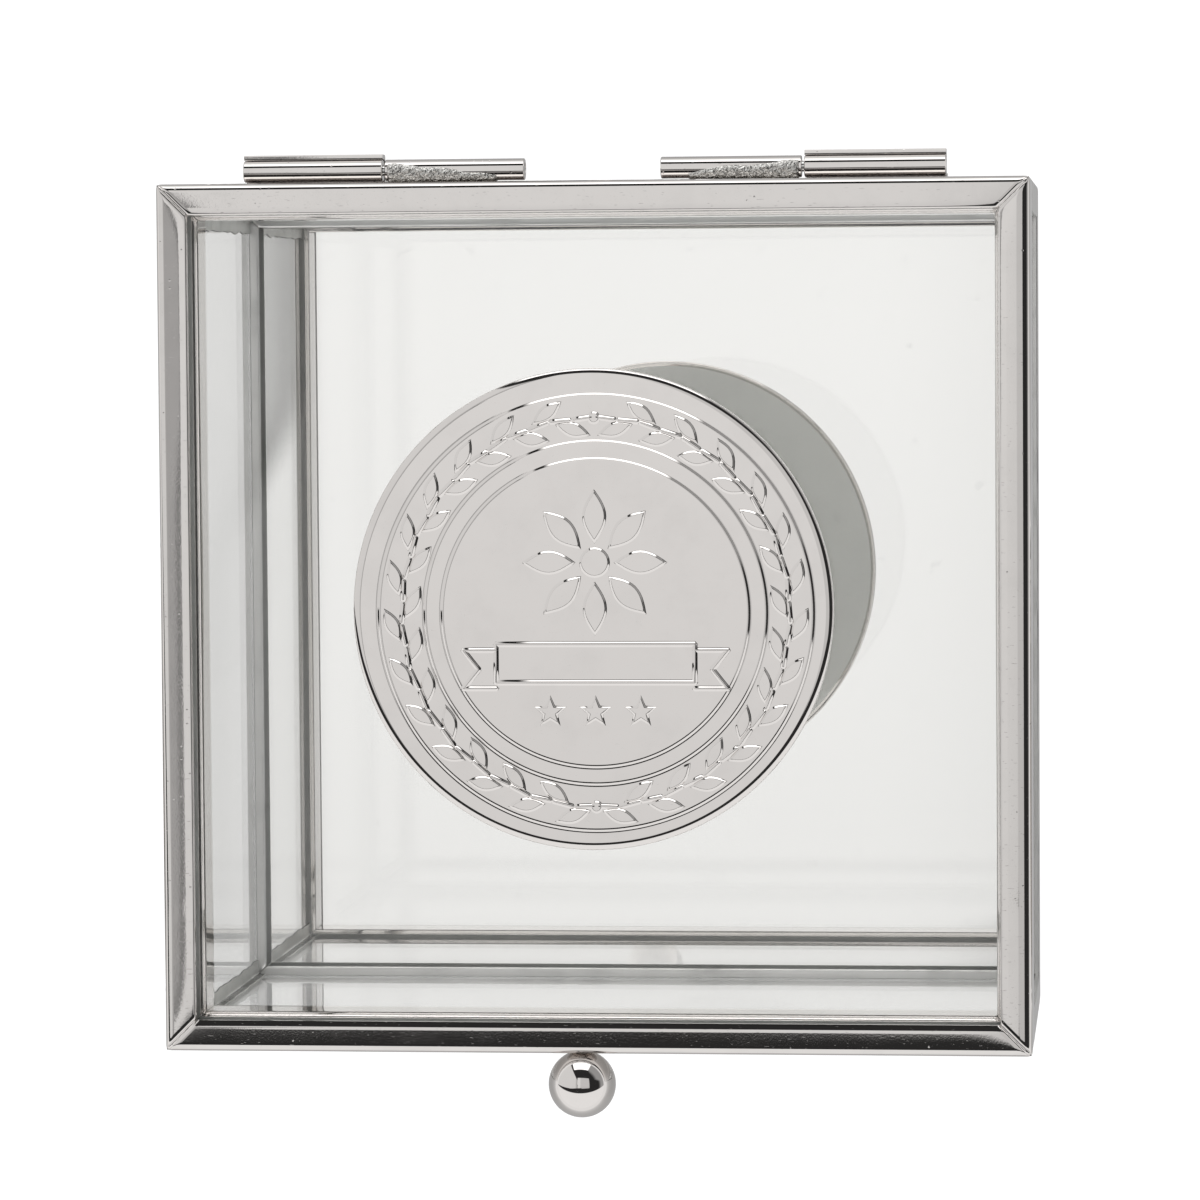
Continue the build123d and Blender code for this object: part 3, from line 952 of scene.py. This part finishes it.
def corner_post(row, column):
    """Folded strip over an upright corner: polished outside. Its faces on the side of the glass get the
    near-black metal of painted shade.
    """
    name = f"corner_post_{row}_{column}"
    sx, sy = signs(row, column)
    leg, r, t = POST_LEG, POST_EDGE_R, SHEET
    outline = [(leg, 0.0)] + arc(r, r, r, 270, 180, 6) + [(0.0, leg), (t, leg), (t, t), (leg, t)]
    z0, z1 = BASE_TOP, TOP_RAIL_BOTTOM
    steps = 24
    verts = []
    for i in range(steps + 1):
        z = z0 + (z1 - z0) * i / steps
        for a, b in outline:
            inset = 0.02
            if a > 1 or b > 1:
                inset += 0.02 * hills(z, a * 2 + sx, b * 2 + sy, 4.0)
            x = HALF - a - (inset if a < 0.01 else 0.0)
            y = HALF - b - (inset if b < 0.01 else 0.0)
            verts.append((sx * x, sy * y, z))
    faces = tube_faces(steps + 1, len(outline))
    obj = make(name, verts, faces, "box", [satin, painted_shade_metal], [name], 40)
    # Painted shade: faces towards the glass take the near-black metal.
    for p in obj.data.polygons:
        c = p.center / MM
        if abs(p.normal.z) < 0.5 and (p.normal.x * sx < -0.5 or p.normal.y * sy < -0.5):
            if abs(c.x) < HALF - t + 0.05 and abs(c.y) < HALF - t + 0.05:
                p.material_index = 1


def corner_seam(row, column):
    """Run of solder up the inside of a corner, where the two panes meet. Its faces that look along Y get
    the near-black metal of painted shade.
    """
    sx, sy = signs(row, column)
    x0 = abs(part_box(f"wall_glass_{column}")[1 if sx < 0 else 0].x) / MM - 0.01
    y0 = abs(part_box(f"wall_glass_{row}")[1 if sy < 0 else 0].y) / MM - 0.01
    z0, z1, steps = BASE_TOP + 0.02, TOP_RAIL_BOTTOM - 0.02, 60
    verts = []
    for i in range(steps + 1):
        z = z0 + (z1 - z0) * i / steps
        a = 0.85 + 0.16 * hills(z, 3 * sx, sy, 2.6)
        b = 1.5 + 0.2 * hills(z, sx, 5 * sy, 2.2)
        t = 0.10 + 0.02 * hills(z, sx + 7, sy, 1.1)
        section = ((a, 0), (a - 0.06, t), (t + 0.25, t), (t + 0.08, t + 0.08), (t, t + 0.25),
                   (t, b - 0.06), (0, b), (0, 0))
        verts += [(sx * (x0 - p), sy * (y0 - q), z) for p, q in section]
    faces = tube_faces(steps + 1, len(section))
    obj = make(f"corner_seam_{row}_{column}", verts, faces, "box", [seam, painted_shade_metal], (), 40)
    # Painted shade: faces that look along Y are dark, and those along X keep the solder colour.
    for p in obj.data.polygons:
        if abs(p.normal.y) > abs(p.normal.x):
            p.material_index = 1


for row in ("front", "back"):
    for column in ("left", "right"):
        corner_post(row, column)
        corner_seam(row, column)

# The stud keeps its own solid
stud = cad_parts["knob_stud"]
stud.data.materials.clear()
stud.data.materials.append(wire)


# Studio
def floor():
    """White table top that keeps the object's real shadow for the camera. Mirrored and passed rays see a
    glow with a painted shadow, darker close to the box.
    """
    mesh = bpy.data.meshes.new("floor")
    half, z = 3.0, -0.0003
    corners = [(-half, -half, z), (half, -half, z), (half, half, z), (-half, half, z)]
    mesh.from_pydata(corners, [], [(0, 1, 2, 3)])
    obj = bpy.data.objects.new("floor", mesh)
    bpy.context.scene.collection.objects.link(obj)
    mat, g = new_material("floor_white")
    path = g.node("ShaderNodeLightPath")
    shade = g.node("ShaderNodeBsdfDiffuse", Color=rgb(0.34, 0.34, 0.34))
    glow = g.node("ShaderNodeEmission", Color=rgb(1, 1, 1), Strength=0.80)
    seen = g.node("ShaderNodeAddShader")
    g.tree.links.new(shade.outputs[0], seen.inputs[0])
    g.tree.links.new(glow.outputs[0], seen.inputs[1])
    place = g.node("ShaderNodeSeparateXYZ", Vector=g.node("ShaderNodeNewGeometry").outputs["Position"])
    reach = g.math("MAXIMUM", g.math("ABSOLUTE", place.outputs[0]), g.math("ABSOLUTE", place.outputs[1]))
    # Painted shadow: the glow that mirrored and passed rays see is darker close to the box.
    mirrored = g.ramp(reach, 0.05, 0.35, 0.45, 1.0, False)
    passed = g.ramp(reach, 0.04, 0.06, 0.77, 1.0)
    glow_with_painted_shadow = g.mix(path.outputs["Is Glossy Ray"], rgb(0.62, 0.62, 0.62), mirrored)
    glow_with_painted_shadow = g.mix(path.outputs["Is Transmission Ray"], glow_with_painted_shadow, passed)
    other = g.node("ShaderNodeEmission", Color=glow_with_painted_shadow, Strength=1.0)
    front = g.shader_mix(path.outputs["Is Camera Ray"], other.outputs[0], seen.outputs[0])
    clear = g.node("ShaderNodeBsdfTransparent")
    side = g.node("ShaderNodeNewGeometry")
    g.surface(g.shader_mix(side.outputs["Backfacing"], front, clear.outputs[0]))
    mesh.materials.append(mat)


def dim_room(g, x, y, z, u):
    """Light of the room behind the panel: dark, but lighter low down on the right."""
    corner = g.ramp(g.math("SUBTRACT", y, g.math("MULTIPLY", x, 0.25)), -0.05, 0.15)
    low = g.math("SUBTRACT", z, g.math("MULTIPLY", corner, 0.19))
    lighter = g.math("MULTIPLY", g.ramp(u, 0.55, 0.95), g.ramp(low, 0.24, 0.45, 0.40, 0.03))
    return g.math("MAXIMUM", lighter, 0.03)


def overhead(g, x, y, u, v):
    """The soft panel overhead and the pale wall on its left, each as a mask and a light. The edge
    between them and their front edge run a little crooked."""
    edge = g.math("SUBTRACT", g.ramp(v, -0.05, -0.01, -0.178, -0.163), g.ramp(v, 0.05, 0.12, 0.0, 0.04))
    past = g.math("SUBTRACT", u, edge)
    right = g.math("ADD", g.ramp(u, -0.045, -0.005, 0.0, -0.010), g.ramp(u, 0.03, 0.08, 0.0, 0.03))
    left = g.math("MULTIPLY", g.ramp(u, -0.70, -0.15, 0.55, 0.0, False), 0.1)
    ahead = g.math("ADD", g.math("ADD", v, 0.1285), g.math("ADD", right, left))
    behind_front = g.ramp(ahead, -0.0105, 0.0105)
    lean = g.math("ADD", g.math("MULTIPLY", x, 1.73), y)
    wall = g.both(g.ramp(past, -0.012, 0.0, 1.0, 0.0), g.ramp(lean, -0.03, 0.03, 1.0, 0.0), behind_front)
    wall_light = g.ramp(u, -0.34, -0.20, 0.86, 0.50)
    panel = g.both(g.ramp(past, -0.004, 0.004), g.ramp(u, 0.56, 0.62, 1.0, 0.0), behind_front,
                   g.ramp(v, 0.50, 0.56, 1.0, 0.0))
    panel_light = g.math("MULTIPLY", g.ramp(u, -0.055, 0.03, 0.95, 0.74),
                         g.ramp(v, -0.11, 0.0, 0.92, 0.985, False))
    return wall, wall_light, panel, panel_light


def studio():
    """Painted studio, laid out by the slopes of a ray: u = x / z to the right and v = y / z to
    the back. A soft panel hangs overhead, with a pale wall to its left, a pale table in front, a
    window behind and dark room between them. Only mirrored and passed rays see it."""
    world = bpy.data.worlds.new("studio")
    bpy.context.scene.world = world
    world.use_nodes = True
    g = Graph(world.node_tree)
    d = g.node("ShaderNodeSeparateXYZ", Vector=g.node("ShaderNodeTexCoord").outputs["Generated"])
    x, y, z = d.outputs
    up = g.math("MAXIMUM", z, 0.001)
    u, v = g.math("DIVIDE", x, up), g.math("DIVIDE", y, up)

    wall, wall_light, panel, panel_light = overhead(g, x, y, u, v)
    table = g.ramp(g.math("ADD", y, g.math("MULTIPLY", z, 0.467)), -0.02, 0.02, 1.0, 0.0)
    sideways = g.math("DIVIDE", g.math("ABSOLUTE", x), g.math("MAXIMUM", y, 0.001))
    window = g.both(g.ramp(v, 1.5, 1.7), g.ramp(sideways, 0.42, 0.5, 1.0, 0.0))
    horizon = g.ramp(z, 0.05, 0.14, 1.0, 0.0)
    light = dim_room(g, x, y, z, u)
    light = g.over(light, wall, wall_light)
    light = g.over(light, window, 2.1)
    light = g.over(light, panel, panel_light)
    light = g.over(light, table, 1.05)
    light = g.over(light, horizon, 1.0)

    path = g.node("ShaderNodeLightPath")
    mirrored = g.math("MAXIMUM", path.outputs["Is Glossy Ray"], path.outputs["Is Transmission Ray"])
    painted = g.both(mirrored, g.math("LESS_THAN", path.outputs["Diffuse Depth"], 0.5))
    light = g.over(1.08, painted, light)
    light = g.over(light, path.outputs["Is Camera Ray"], 1.0)
    back = g.node("ShaderNodeBackground", Color=rgb(1, 1, 1), Strength=light)
    out = g.node("ShaderNodeOutputWorld")
    g.tree.links.new(back.outputs[0], out.inputs["Surface"])


def camera():
    """Almost straight above the box, a little to the right and to the back."""
    data = bpy.data.cameras.new("camera")
    data.sensor_width = 36.0
    data.lens = 153.9
    data.clip_start, data.clip_end = 0.01, 20.0
    obj = bpy.data.objects.new("camera", data)
    bpy.context.scene.collection.objects.link(obj)
    turn = (Matrix.Rotation(math.radians(-3.125), 4, "X") @ Matrix.Rotation(math.radians(5.958), 4, "Y")
            @ Matrix.Rotation(math.radians(-0.1), 4, "Z"))
    obj.matrix_world = Matrix.Translation((0.04938, 0.02714, 0.50495)) @ turn
    bpy.context.scene.camera = obj


floor()
studio()
camera()
scene = bpy.context.scene
scene.view_settings.view_transform = "Standard"
scene.cycles.max_bounces = 24
scene.cycles.glossy_bounces = 12
scene.cycles.transmission_bounces = 20
scene.cycles.transparent_max_bounces = 24
